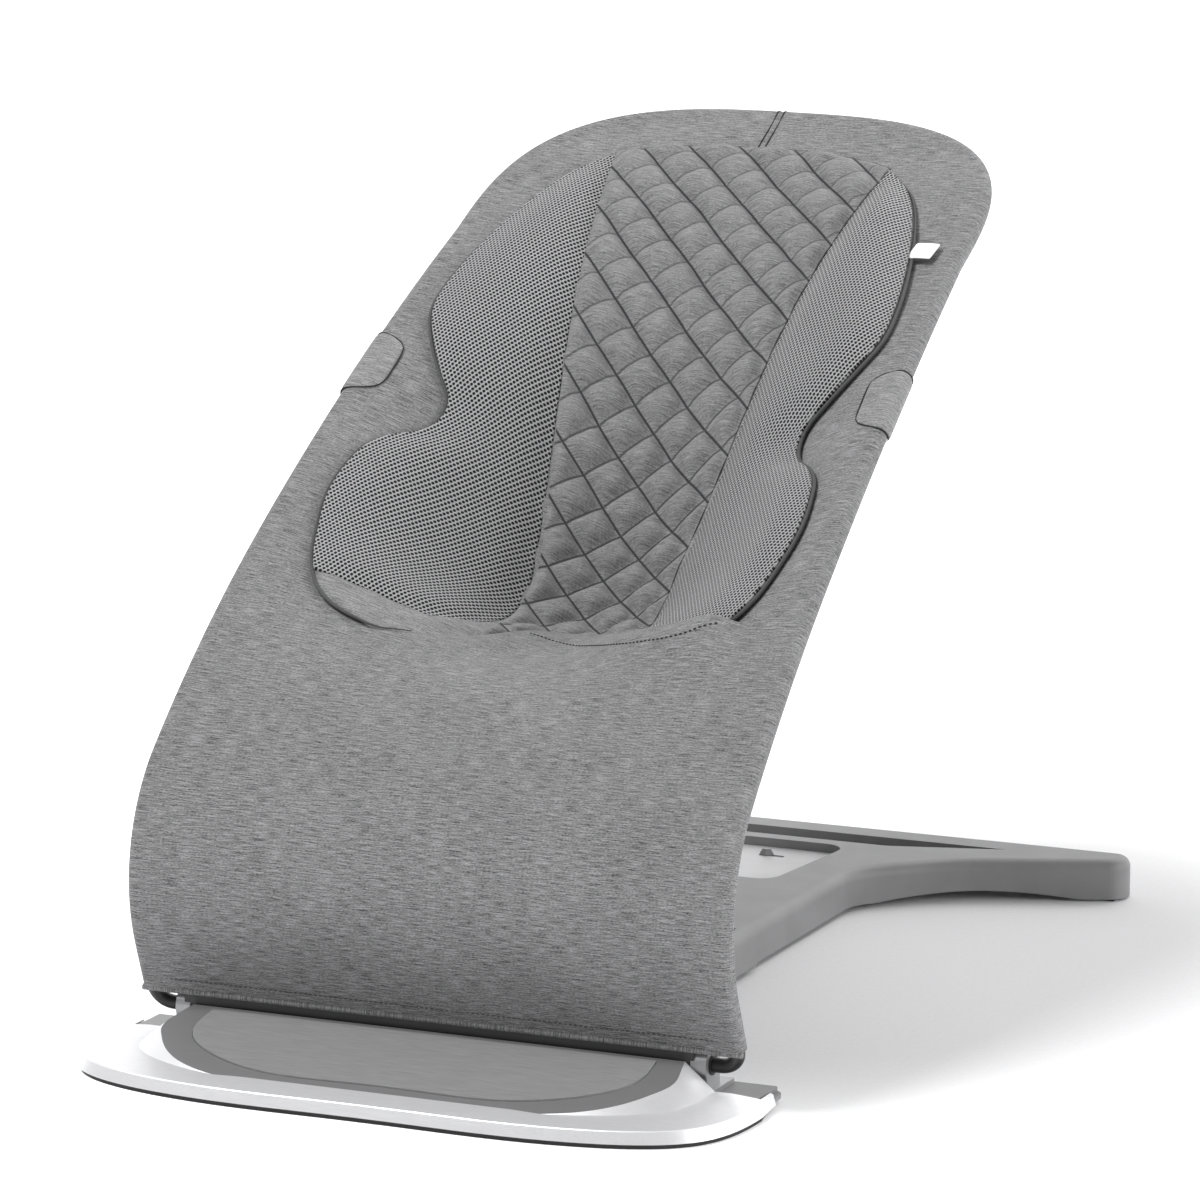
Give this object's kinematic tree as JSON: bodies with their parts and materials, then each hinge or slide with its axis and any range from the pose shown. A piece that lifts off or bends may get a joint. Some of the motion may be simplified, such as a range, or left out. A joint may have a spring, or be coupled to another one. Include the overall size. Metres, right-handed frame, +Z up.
{
  "type": "baby bouncer seat",
  "caption": "Reclining baby bouncer seat: fabric sling with quilted pad on a bent steel tube frame, hinged to a low front plate and a long rear base with a recline lock.",
  "frame": {"origin": "on the floor, on the centre plane, under the seat's hinge axis (3 mm in front of it)", "axes": "+Z up, +Y from the front plate to the rear base, +X to the right seen from the front"},
  "size_m": [0.4672, 0.7162, 0.524],
  "materials": {
    "black_steel": "satin black powder coat",
    "zinc_steel": "zinc plated",
    "grey_jersey": "heathered grey knit",
    "quilted_jersey": "heathered grey knit, diamond quilted",
    "air_mesh": "open spacer mesh",
    "dark_piping": "dark grey binding",
    "white_tag": "white woven tape",
    "satin_aluminium": "satin anodised",
    "inlay_grey": "fine heathered grain",
    "light_grey_plastic": "light grey satin",
    "mid_grey_plastic": "mid grey satin",
    "hatch_grey": "light grey satin",
    "lever_grey": "grey satin",
    "black_rubber": "matt",
    "silver_bracket": "silver paint",
    "black_nylon": "matt"
  },
  "bodies": {
    "base": {"front_plate_cover": "satin_aluminium", "front_plate_inlay": "inlay_grey", "front_tray": "light_grey_plastic", "front_rubber_strip": "black_rubber", "pivot_bracket_left": "silver_bracket", "pivot_bracket_right": "silver_bracket", "hinge_bush_left": "black_nylon", "hinge_bush_right": "black_nylon", "bracket_screws": "zinc_steel", "spine_front_cover": "light_grey_plastic", "spine_front_base": "mid_grey_plastic", "rear_base_top": "mid_grey_plastic", "rear_base_bottom": "mid_grey_plastic", "base_screws": "zinc_steel", "hatch_panel": "hatch_grey", "joint_catches": "black_nylon", "rear_foot_left": "black_rubber", "rear_foot_right": "black_rubber"},
    "seat": {"lower_frame_tube": "black_steel", "upper_frame_tube": "black_steel", "frame_spigot_left": "black_steel", "frame_spigot_right": "black_steel", "lock_sector": "zinc_steel", "front_pouch": "grey_jersey", "seat_sling": "grey_jersey", "quilt_panel": "quilted_jersey", "mesh_panel_left": "air_mesh", "mesh_panel_right": "air_mesh", "pad_piping": "dark_piping", "tab_flap_left": "grey_jersey", "tab_flap_right": "grey_jersey", "hem_binding": "dark_piping", "label_tag": "white_tag"},
    "lock_rod_body": {"lock_rod": "zinc_steel"},
    "lock_lever_body": {"lock_lever": "lever_grey"}
  },
  "joints": [
    {"name": "seat_recline", "type": "hinge", "parent": "base", "child": "seat", "pos_m": [0, 0.003, 0.025], "axis": [1, 0, 0], "range_deg": [-34, 16]},
    {"name": "lock_rod_slide", "type": "slide", "parent": "base", "child": "lock_rod_body", "axis": [0, -1, 0], "range_m": [0, 0.004]},
    {"name": "lock_lever_slide", "type": "slide", "parent": "base", "child": "lock_lever_body", "axis": [1, 0, 0], "range_m": [0, 0.008]}
  ],
  "couplings": [
    {"joint": "lock_lever_slide", "follows": "lock_rod_slide", "ratio": 2}
  ]
}
